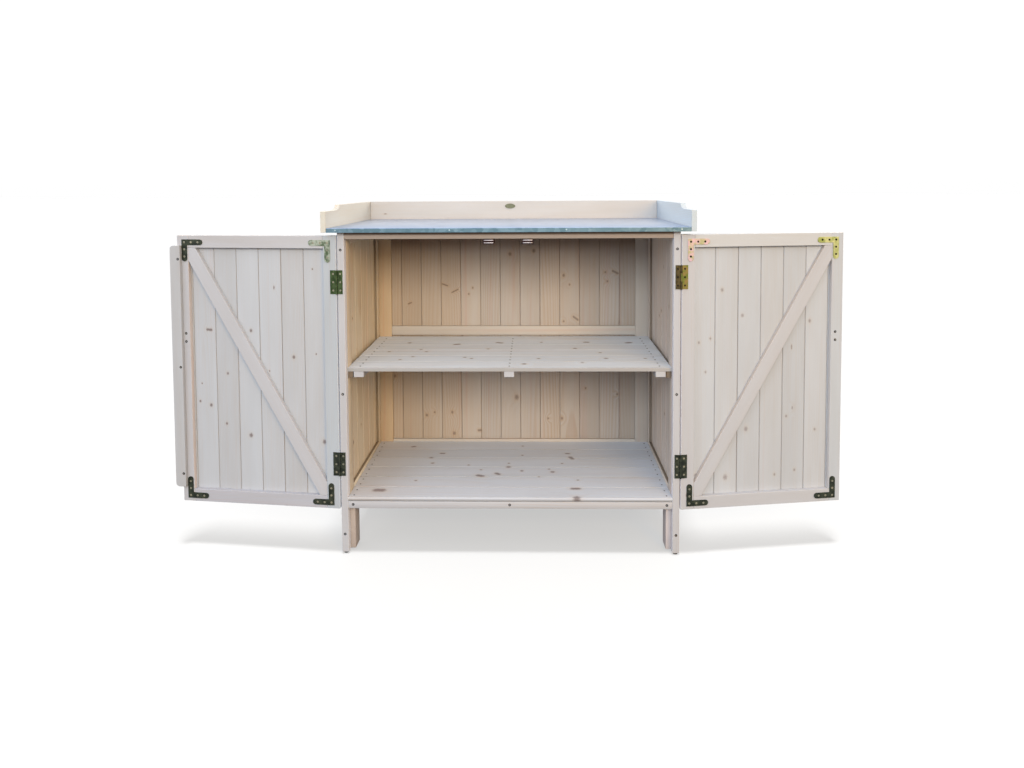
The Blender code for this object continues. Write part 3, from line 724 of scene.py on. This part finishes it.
def paint_wood():
    """Every CAD node of wood gets its own grain."""
    slots = {row["node"]: row["material_slot"] for row in frame["record"]["subparts"]}
    wooden = [n for n in sorted(frame["nodes"]) if slots[n].startswith("pine")]
    for seed, node in enumerate(wooden):
        obj = frame["nodes"][node]
        cover, tint = WOOD_LOOKS.get(node, (WASH_COVER, OUTSIDE))
        axes = wood_axes(obj, node)
        boards = board_run(obj, node, axes)
        knots = knots_on(node, boards)
        knottiness = SPARE_KNOTTINESS if knots else KNOTTINESS
        low, high = axes.spans(obj)[2]
        edge_below = high - DARK_EDGES[node] if node in DARK_EDGES else None
        outer_face = None
        if node in OUTER_FACES:
            sign = OUTER_FACES[node]
            outer_face = (sign, sign * (low + high) / 2)
        side_shade = SIDE_SHADES.get(node)
        material = pine(
            node, axes, seed, cover, tint, knottiness, knots, boards, edge_below, side_shade, outer_face
        )
        paint(obj, material)


def mesh_object(name, bm, material, body):
    """A shaded piece that rides on a body."""
    mesh = to_mesh(name, bm)
    mesh.shade_smooth()
    mesh.set_sharp_from_angle(angle=math.radians(35))
    obj = linked(name, mesh)
    obj.data.materials.append(material)
    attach(obj, body)
    return obj


def box_bmesh(x, y, z, bevel=0.0, segments=2):
    """A box between the two values of each axis, its edges rounded."""
    bm = bmesh.new()
    bmesh.ops.create_cube(bm, size=1.0)
    spans = [sorted(span) for span in (x, y, z)]
    for vert in bm.verts:
        vert.co = [lo + (vert.co[i] + 0.5) * (hi - lo) for i, (lo, hi) in enumerate(spans)]
    if bevel:
        bmesh.ops.bevel(
            bm, geom=bm.edges[:], offset=bevel, segments=segments, affect="EDGES", profile=0.5
        )
    return bm


# The frame's sticks so far; their number makes each one's grain its own
MEMBERS = []


def member(name, x, y, z, cover=WASH_COVER, tint=OUTSIDE, side_shade=None):
    """A stick of the cabinet's frame, its grain along its longest side."""
    spans = [sorted(span) for span in (x, y, z)]
    order = sorted(range(3), key=lambda i: spans[i][0] - spans[i][1])
    axes = Axes(*(AXES[i] for i in order))
    seed = 100 + len(MEMBERS)
    material = pine(name, axes, seed, cover, tint, KNOTTINESS, side_shade=side_shade)
    obj = mesh_object(name, box_bmesh(x, y, z, STICK_BEVEL), material, "cabinet")
    MEMBERS.append(obj)
    return obj


def build_side_frame(side, sign):
    node = "side_frame_" + side
    low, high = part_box(node)
    front, back = low.y, high.y
    across = (sign * POST_INNER, sign * MEMBER_OUTER)
    inset = (sign * FOOT_INNER, sign * (POST_INNER - GAP))
    whole = (FRAME_BOTTOM, high.z)
    between = (front + SIDE_STILE + JOINT, back - SIDE_REAR_STILE - JOINT)
    cleat = (CLEAT_BOTTOM, CLEAT_TOP)
    sticks = {
        "front_stile": ((front, front + SIDE_STILE), whole),
        "rear_stile": ((back - SIDE_REAR_STILE, back - JOINT), whole),
        "bottom_rail": (between, (FRAME_BOTTOM, SIDE_RAIL_TOP)),
        "top_rail": (between, (UPPER_RAILS_BOTTOM, high.z)),
        "middle_rail": (between, cleat),
    }
    cover, tint = SIDE_FRAME_LOOKS[side]
    pieces = [
        member(f"{node}_{stick}", across, y, z, cover, tint, SHADED_SIDE)
        for stick, (y, z) in sticks.items()
    ]
    member(node + "_shelf_cleat", inset, (front, back), cleat, 0.35, CLEAT)
    foot_across = (sign * FOOT_INNER, sign * MEMBER_OUTER)
    foot_height = (low.z, FRAME_BOTTOM - 2 * GAP)
    foot_depth = (front, front + FOOT_DEPTH)
    member(node + "_foot_block", foot_across, foot_depth, foot_height, 0.75, FOOT[side])
    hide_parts(node)


def build_back_frame():
    low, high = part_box("back_frame")
    deep = (low.y, high.y)
    for side, sign in (("left", -1), ("right", 1)):
        across = (sign * BACK_STILE_INNER, sign * MEMBER_OUTER)
        whole = (low.z, high.z)
        member("back_stile_" + side, across, deep, whole, *BACK_STILES[side])
    inner = BACK_STILE_INNER - GAP
    for label, span in zip(("bottom", "middle", "top"), BACK_RAILS):
        member(f"back_{label}_rail", (-inner, inner), deep, span, 0.70, RAIL)
    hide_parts("back_frame")


def build_floor_frame():
    low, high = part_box("floor_frame")
    half = high.x
    height = (low.z, high.z)
    rail_back = low.y + FLOOR_MEMBER_DEPTH
    rear = high.y - FLOOR_MEMBER_DEPTH
    rail_height = (low.z, high.z - FLOOR_RAIL_DROP)
    rail = member("floor_front_rail", (-half, half), (low.y, rail_back), rail_height, 0.84)
    sides = (rail_back + GAP, high.y)
    for side, sign in (("left", -1), ("right", 1)):
        across = (sign * (half - CLEAT_WIDTH), sign * half)
        member("floor_cleat_" + side, across, sides, height)
    joist = CLEAT_WIDTH / 2
    member("floor_joist", (-joist, joist), (rail_back + GAP, rear - GAP), height)
    inner = half - CLEAT_WIDTH - GAP
    member("floor_rear_cleat", (-inner, inner), (rear, high.y), height)
    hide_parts("floor_frame")


def metal(name, colour, roughness, metallic, other=None):
    """Plated metal: a mottled colour that shifts towards another, with fine grit and dull spots."""
    material, g, shader = new_material(name)
    position = g.place()
    cloud = g.noise(g.scaled(position, (90.0,) * 3), 3.0)
    grit = g.noise(g.scaled(position, (2200.0,) * 3), 2.0)
    darker = tuple(c * 0.55 for c in colour)
    other = other or tuple(min(1.0, c * 1.25) for c in colour)
    blend = g.mix(g.step(cloud, 0.35, 0.65), colour, other)
    blend = g.mix(g.step(grit, 0.62, 0.80, 0.0, 0.40), blend, darker)
    g.tree.links.new(blend, shader.inputs["Base Color"])
    shader.inputs["Metallic"].default_value = metallic
    rough = g.math("MULTIPLY_ADD", cloud, 0.22, roughness - 0.11)
    g.tree.links.new(rough, shader.inputs["Roughness"])
    bump(g, shader, grit, 0.00004, 0.4)
    return material


def zinc_material():
    """Galvanised sheet: large flat crystals, each with its own shade, bluish; bluer towards the front and darker
    teal on the lip, painted reflection and shade.
    """
    material, g, shader = new_material("zinc_spangle")
    low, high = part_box("worktop_zinc_sheet")
    position = g.place()
    wobble = g.noise(g.scaled(position, (30.0,) * 3), 2.0)
    crystals = g.tree.nodes.new("ShaderNodeTexVoronoi")
    crystals.inputs["Scale"].default_value = 75.0
    crystals.inputs["Randomness"].default_value = 1.0
    bent = g.vector("ADD", position, g.scaled(g.combine(wobble, wobble, wobble), (0.02,) * 3))
    g.tree.links.new(bent, crystals.inputs["Vector"])
    shade = g.part(crystals.outputs["Color"], 0)
    # A painted reflection: the sheet bluer and darker at the front, paler towards the back
    back = g.mix(shade, (0.35, 0.41, 0.53), (0.455, 0.50, 0.60))
    front = g.mix(shade, (0.22, 0.33, 0.54), (0.31, 0.42, 0.62))
    reflection_place = g.math("MULTIPLY_ADD", wobble, 0.10, g.part(position, 1))
    top = g.mix(g.step(reflection_place, low.y, low.y + 0.24), front, back)
    # The lip's darker teal is painted shade on its front face
    lip = g.mix(shade, (0.098, 0.168, 0.208), (0.137, 0.207, 0.257))
    below = g.step(g.part(position, 2), high.z - 0.0012, high.z - 0.0006, 1.0, 0.0)
    in_front = g.step(g.part(position, 1), low.y + 0.001, low.y + 0.002, 1.0, 0.0)
    is_lip = g.math("MULTIPLY", below, in_front)
    g.tree.links.new(g.mix(is_lip, top, lip), shader.inputs["Base Color"])
    shader.inputs["Metallic"].default_value = 0.85
    rough = g.math("MULTIPLY_ADD", shade, 0.12, 0.30)
    g.tree.links.new(rough, shader.inputs["Roughness"])
    bump(g, shader, wobble, 0.0006, 0.25)
    return material


def plastic(name, colour, roughness):
    """Moulded plastic with a fine pebbled face."""
    material, g, shader = new_material(name)
    pebble = g.noise(g.scaled(g.place(), (1600.0,) * 3), 2.0)
    shader.inputs["Specular IOR Level"].default_value = 0.12
    lighter = tuple(min(1.0, c * 1.5) for c in colour)
    g.tree.links.new(g.mix(g.step(pebble, 0.3, 0.7), colour, lighter), shader.inputs["Base Color"])
    rough = g.math("MULTIPLY_ADD", pebble, 0.2, roughness - 0.1)
    g.tree.links.new(rough, shader.inputs["Roughness"])
    bump(g, shader, pebble, 0.00006)
    return material


# Passivated steel: (colour, the colour it shifts to)
DARK_PLATE = ((0.020, 0.024, 0.018), (0.046, 0.052, 0.036))
GREEN_PLATE = ((0.08, 0.11, 0.06), (0.34, 0.36, 0.29))
PALE_PLATE = ((0.30, 0.33, 0.10), (0.48, 0.48, 0.24))
ROSY_PLATE = ((0.32, 0.33, 0.20), (0.47, 0.34, 0.42))
GOLD_PLATE = ((0.12, 0.15, 0.030), (0.20, 0.15, 0.055))
MOSS_PLATE = ((0.028, 0.046, 0.017), (0.062, 0.090, 0.038))
BRONZE_PLATE = ((0.045, 0.036, 0.016), (0.085, 0.065, 0.030))
PLATE_LOOKS = {
    "left_plate_top_free": DARK_PLATE,
    "left_plate_top_hinge": GREEN_PLATE,
    "left_plate_bottom_free": DARK_PLATE,
    "left_plate_bottom_hinge": DARK_PLATE,
    "right_plate_top_free": PALE_PLATE,
    "right_plate_top_hinge": ROSY_PLATE,
    "right_plate_bottom_free": DARK_PLATE,
    "right_plate_bottom_hinge": DARK_PLATE,
    "left_hinge_top_door_leaf": MOSS_PLATE,
    "left_hinge_top_post_leaf": MOSS_PLATE,
    "left_hinge_bottom_door_leaf": DARK_PLATE,
    "left_hinge_bottom_post_leaf": DARK_PLATE,
    "right_hinge_top_door_leaf": GOLD_PLATE,
    "right_hinge_top_post_leaf": BRONZE_PLATE,
    "right_hinge_bottom_door_leaf": DARK_PLATE,
    "right_hinge_bottom_post_leaf": DARK_PLATE,
}


def paint_metal():
    for node, (colour, other) in PLATE_LOOKS.items():
        paint(frame["nodes"][node], metal("steel_" + node, colour, 0.38, 0.9, other))
    paint(frame["nodes"]["worktop_zinc_sheet"], zinc_material())
    paint(frame["nodes"]["badge_plate"], metal("badge_brass", (0.105, 0.105, 0.07), 0.45, 0.8))
    black = plastic("glide_plastic", (0.02, 0.02, 0.02), 0.5)
    for node in sorted(frame["nodes"]):
        if node.startswith("glide_"):
            paint(frame["nodes"][node], black)


def screw_mesh(radius, proud):
    """A countersunk head with a cross recess, its axis along +Z, its rim at z = 0, a point below it."""
    bm = bmesh.new()
    profile = ((radius, 0.0), (radius * 0.97, proud * 0.7), (radius * 0.86, proud))
    turn = [2 * math.pi * i / SCREW_SEGMENTS for i in range(SCREW_SEGMENTS)]
    rings = [
        [bm.verts.new((r * math.cos(a), r * math.sin(a), z)) for a in turn] for r, z in profile
    ]
    tip = bm.verts.new((0, 0, proud * 1.1))
    base = bm.verts.new((0, 0, -SCREW_UNDERSIDE))
    for i in range(SCREW_SEGMENTS):
        j = (i + 1) % SCREW_SEGMENTS
        for lower, upper in zip(rings, rings[1:]):
            bm.faces.new((lower[i], lower[j], upper[j], upper[i]))
        bm.faces.new((rings[-1][i], rings[-1][j], tip))
        bm.faces.new((rings[0][j], rings[0][i], base))
    solid = linked("screw_head", to_mesh("screw_head", bm))
    cutters = []
    arm, half = radius * 0.56, radius * 0.11
    for i, (x, y) in enumerate(((arm, half), (half, arm))):
        bottom = -0.0004 + 0.0001 * i
        slot = box_bmesh((-x, x), (-y, y), (bottom, proud * 3))
        cutters.append(linked("screw_cross", to_mesh("screw_cross", slot)))
        cut = solid.modifiers.new("cross", "BOOLEAN")
        cut.object = cutters[-1]
        cut.solver = "EXACT"
    graph = bpy.context.evaluated_depsgraph_get()
    made = bpy.data.meshes.new_from_object(solid.evaluated_get(graph))
    for obj in [solid, *cutters]:
        bpy.data.objects.remove(obj)
    return made


def nail_mesh(radius, proud):
    """A flat head that is sunk to half its depth."""
    bm = bmesh.new()
    top = radius * 0.8
    bmesh.ops.create_cone(
        bm, cap_ends=True, segments=NAIL_SEGMENTS, radius1=radius, radius2=top, depth=proud * 2
    )
    return to_mesh("nail_head", bm)


def facing(normal, spin):
    """A rotation that turns +Z to this normal, after a spin about +Z."""
    turn = Vector(normal).to_track_quat("Z", "Y").to_matrix().to_4x4()
    return turn @ Matrix.Rotation(spin, 4, "Z")


def heads(name, mesh, places, material, body, size=1.0):
    """Copies of a head mesh at (point, normal), as one piece, each turned its own way."""
    bm = bmesh.new()
    for i, (point, normal) in enumerate(places):
        copy = mesh.copy()
        spin = 1.7 * i + 0.4
        copy.transform(Matrix.Translation(point) @ facing(normal, spin) @ Matrix.Scale(size, 4))
        bm.from_mesh(copy)
        bpy.data.meshes.remove(copy)
    return mesh_object(name, bm, material, body)


def plate_screw_places(side, node):
    """Corner hole and two along each arm, from the plate's own box in the door's axes."""
    s, t, pin = DOOR_AXES[side]
    spans = Axes(s, Z, t, pin).spans(frame["nodes"][node])
    (s_low, s_high), (z_low, z_high), (_, face) = spans
    s_corner, s_way = (s_low, 1) if node.endswith("_hinge") else (s_high, -1)
    z_corner, z_way = (z_high, -1) if "_top_" in node else (z_low, 1)
    middle = PLATE_WIDTH / 2
    holes = [(middle + PLATE_HOLE_PITCH * i, middle) for i in range(3)]
    holes += [(middle, middle + PLATE_HOLE_PITCH * i) for i in range(1, 3)]
    places = []
    for u, v in holes:
        point = pin + s * (s_corner + s_way * u) + Z * (z_corner + z_way * v) + t * face
        places.append((point, t))
    return places


def hinge_screw_places(side, node):
    """Three screws in a leaf; the post leaf lies along the cabinet's own axes."""
    s, t, pin = DOOR_AXES[side]
    if node.endswith("post_leaf"):
        s, t = (X if side == "left" else -X), -Y
    spans = Axes(s, Z, t, pin).spans(frame["nodes"][node])
    middle = sum(spans[1]) / 2
    in_face = pin + s * HINGE_SCREW_REACH + t * HINGE_LEAF_FACE
    return [(in_face + Z * (middle + offset), t) for offset in HINGE_SCREW_OFFSETS]


def brown_steel(name):
    """The blackish brown of the wood screws."""
    return metal(name, (0.010, 0.008, 0.006), 0.60, 0.95, (0.015, 0.012, 0.010))


def build_door_screws(side):
    s, t, pin = DOOR_AXES[side]
    body = side + "_door"
    light = metal(side + "_screw_steel", (0.22, 0.21, 0.16), 0.35, 0.95, (0.28, 0.25, 0.18))
    brown = brown_steel(side + "_screw_brown")
    for node in sorted(frame["nodes"]):
        top_right = node.startswith(("right_plate_top", "right_hinge_top"))
        material = brown if top_right else light
        if node.startswith(side + "_plate_"):
            places = plate_screw_places(side, node)
            heads(node + "_screws", SCREW, places, material, body, PLATE_SCREW_SIZE)
        if node.startswith(side + "_hinge_"):
            rider = body if node.endswith("door_leaf") else "cabinet"
            places = hinge_screw_places(side, node)
            heads(node + "_screws", SCREW, places, material, rider, HINGE_SCREW_SIZE)

    def spans_of(piece):
        return Axes(s, Z, t, pin).spans(frame["nodes"][piece])

    def places_at(across, heights, face):
        return [(pin + s * across + Z * z + t * face, t) for z in heights]

    face = spans_of(side + "_door_free_stile")[2][1]
    pull_s, pull_z = (sum(span) / 2 for span in spans_of(side + "_door_pull")[:2])
    heights = [pull_z + offset for offset in PULL_SCREW_OFFSETS]
    places = places_at(pull_s + PULL_SCREW_SHIFT, heights, face)
    heads(side + "_pull_screws", SCREW, places, brown, body)
    if side == "left":
        (near, _), (low, high), (_, face) = spans_of("left_door_cover_strip")
        heights = (low + STRIP_LOW_SCREW, (low + high) / 2, high - STRIP_HIGH_SCREW)
        places = places_at(near + STRIP_SCREW_INSET, heights, face)
        heads("cover_strip_screws", SCREW, places, brown, body)


def build_cabinet_screws():
    brown = brown_steel("post_screw_steel")
    posts = [(sign * POST_SCREW_X, z) for sign in (-1, 1) for z in POST_SCREW_HEIGHTS]
    rail = [(x, RAIL_SCREW_HEIGHT) for x in RAIL_SCREWS_X]
    for name, points in (("post_screws", posts), ("floor_rail_screws", rail)):
        places = [(Vector((x, CARCASS_FRONT, z)), -Y) for x, z in points]
        heads(name, SCREW, places, brown, "cabinet")


def board_nail_places(node, columns):
    """Two nails across each board, in columns at these x, on the top of a run of boards."""
    low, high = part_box(node)
    first_seam, pitch = seams_of(frame["nodes"][node], Axes(X, Y, Z))
    boards = range(-1, math.ceil((high.y - first_seam) / pitch))
    rows = [first_seam + pitch * (board + part) for board in boards for part in NAILS_IN_A_BOARD]
    rows = [y for y in rows if low.y + NAIL_FROM_EDGE < y < high.y - NAIL_FROM_EDGE]
    return [(Vector((x, y, high.z)), Z) for x in columns for y in rows]


def build_nails():
    dark = metal("nail_steel", (0.030, 0.024, 0.020), 0.6, 0.95)
    bright = metal("lip_nail_steel", (0.30, 0.37, 0.40), 0.40, 0.95)
    places = board_nail_places("shelf_boards", SHELF_NAILS_X)
    heads("shelf_nails", NAIL, places, dark, "cabinet", SHELF_NAIL_SIZE)
    places = board_nail_places("floor_boards", FLOOR_NAILS_X)
    heads("floor_nails", NAIL, places, dark, "cabinet", FLOOR_NAIL_SIZE)
    low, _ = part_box("worktop_zinc_sheet")
    places = [(Vector((x, low.y, low.z + LIP_NAIL_HEIGHT)), -Y) for x in LIP_NAILS_X]
    heads("sheet_lip_nails", NAIL, places, bright, "cabinet")


def build_catches():
    """Magnetic catches: a plastic housing with rounded edges and two steel pole strips each."""
    plastic_brown = plastic("catch_brown", (0.020, 0.011, 0.012), 0.75)
    steel = metal("pole_steel", (0.42, 0.38, 0.40), 0.40, 0.95)
    for side in ("left", "right"):
        node = "magnet_catch_" + side
        low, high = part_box(node)
        front = low.y + POLE_PROUD
        shell = box_bmesh((low.x, high.x), (front, high.y), (low.z, high.z), CATCH_BEVEL, 3)
        housing = mesh_object(node + "_housing", shell, plastic_brown, "cabinet")
        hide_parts(node)
        across = (low.x + POLE_FROM_SIDE, high.x - POLE_FROM_SIDE)
        deep = (low.y, front + POLE_DEPTH)
        for i, drop in enumerate(POLE_DROPS, 1):
            height = (high.z - drop - POLE_HALF, high.z - drop + POLE_HALF)
            bar = box_bmesh(across, deep, height, POLE_BEVEL)
            mesh_object(f"{node}_pole_{i}", bar, steel, "cabinet")


def build_camera():
    data = bpy.data.cameras.new("camera")
    data.sensor_width = 36.0
    data.lens = CAMERA_LENS
    data.shift_x, data.shift_y = CAMERA_SHIFT
    data.clip_end = 200.0
    camera = linked("camera", data)
    camera.location = CAMERA_AT
    camera.rotation_euler = [math.radians(angle) for angle in CAMERA_TILT]
    bpy.context.scene.camera = camera


def area_light(name, at, aim_height, size, watts, colour, spared=()):
    """A rectangular lamp that aims at the bench; the spared objects get none of its light."""
    data = bpy.data.lights.new(name, "AREA")
    data.shape = "RECTANGLE"
    data.size, data.size_y = size
    data.energy = watts
    data.color = colour
    light = linked(name, data)
    light.location = at
    direction = Z * aim_height - Vector(at)
    light.rotation_euler = direction.to_track_quat("-Z", "Y").to_euler()
    if spared:
        receivers = bpy.data.collections.new(name + "_spared")
        light.light_linking.receiver_collection = receivers
        for obj in spared:
            receivers.objects.link(obj)
        for entry in receivers.collection_objects:
            entry.light_linking.link_state = "EXCLUDE"


def build_world():
    """An overcast sky, brighter overhead, over ground that sends back less light."""
    world = bpy.data.worlds.new("studio")
    world.use_nodes = True
    g = Graph(world.node_tree)
    background = world.node_tree.nodes["Background"]
    direction = g.node("ShaderNodeTexCoord", {}, "Generated")
    height = g.part(direction, 2)
    sky = g.math("MULTIPLY_ADD", g.math("MAXIMUM", height, 0.0), ZENITH_GAIN, SKY)
    brightness = g.combine(sky, sky, sky)
    colour = g.mix(g.step(height, -0.10, -0.03), GROUND_LIGHT, brightness)
    g.tree.links.new(colour, background.inputs["Color"])
    bpy.context.scene.world = world


def build_floor():
    """A pale floor that glows and fades into the background. Diffuse rays pass it and meet the world."""
    bm = bmesh.new()
    bmesh.ops.create_grid(bm, x_segments=1, y_segments=1, size=FLOOR_HALF)
    floor = linked("floor", to_mesh("floor", bm))
    material, g, shader = new_material("studio_floor")
    speck = g.noise(g.scaled(g.place(), (3.0,) * 3), 2.0)
    pale = g.mix(speck, (FLOOR_COLOUR,) * 3, (FLOOR_COLOUR * 1.03,) * 3)
    g.tree.links.new(pale, shader.inputs["Base Color"])
    shader.inputs["Roughness"].default_value = 1.0
    shader.inputs["Specular IOR Level"].default_value = 0.0
    shader.inputs["Emission Color"].default_value = with_alpha(WHITE)
    shader.inputs["Emission Strength"].default_value = FLOOR_GLOW
    floor.data.materials.append(material)
    floor.visible_diffuse = False
    return floor


def build_drop_light(floor):
    """A wide sun nearly overhead that only the floor receives, for the soft shadow below."""
    data = bpy.data.lights.new("overhead", "SUN")
    data.energy = DROP_LIGHT
    data.angle = math.radians(DROP_LIGHT_ANGLE)
    light = linked("overhead", data)
    light.location = Z * DROP_LIGHT_HEIGHT
    light.rotation_euler = (math.radians(DROP_LIGHT_TILT), 0.0, 0.0)
    receivers = bpy.data.collections.new("overhead_receivers")
    receivers.objects.link(floor)
    light.light_linking.receiver_collection = receivers


def build_studio():
    build_world()
    floor = build_floor()
    build_drop_light(floor)
    for name, lamp in LAMPS.items():
        behind = name.startswith("back_")
        spared = (floor, frame["nodes"]["worktop_zinc_sheet"]) if behind else ()
        area_light(name, *lamp, spared)


SCREW = screw_mesh(SCREW_RADIUS, SCREW_PROUD)
NAIL = nail_mesh(NAIL_RADIUS, NAIL_PROUD)
build_camera()
paint_wood()
paint_metal()
build_side_frame("left", -1)
build_side_frame("right", 1)
build_back_frame()
build_floor_frame()
build_catches()
build_door_screws("left")
build_door_screws("right")
build_cabinet_screws()
build_nails()
build_studio()
bpy.context.scene.view_settings.view_transform = "Standard"
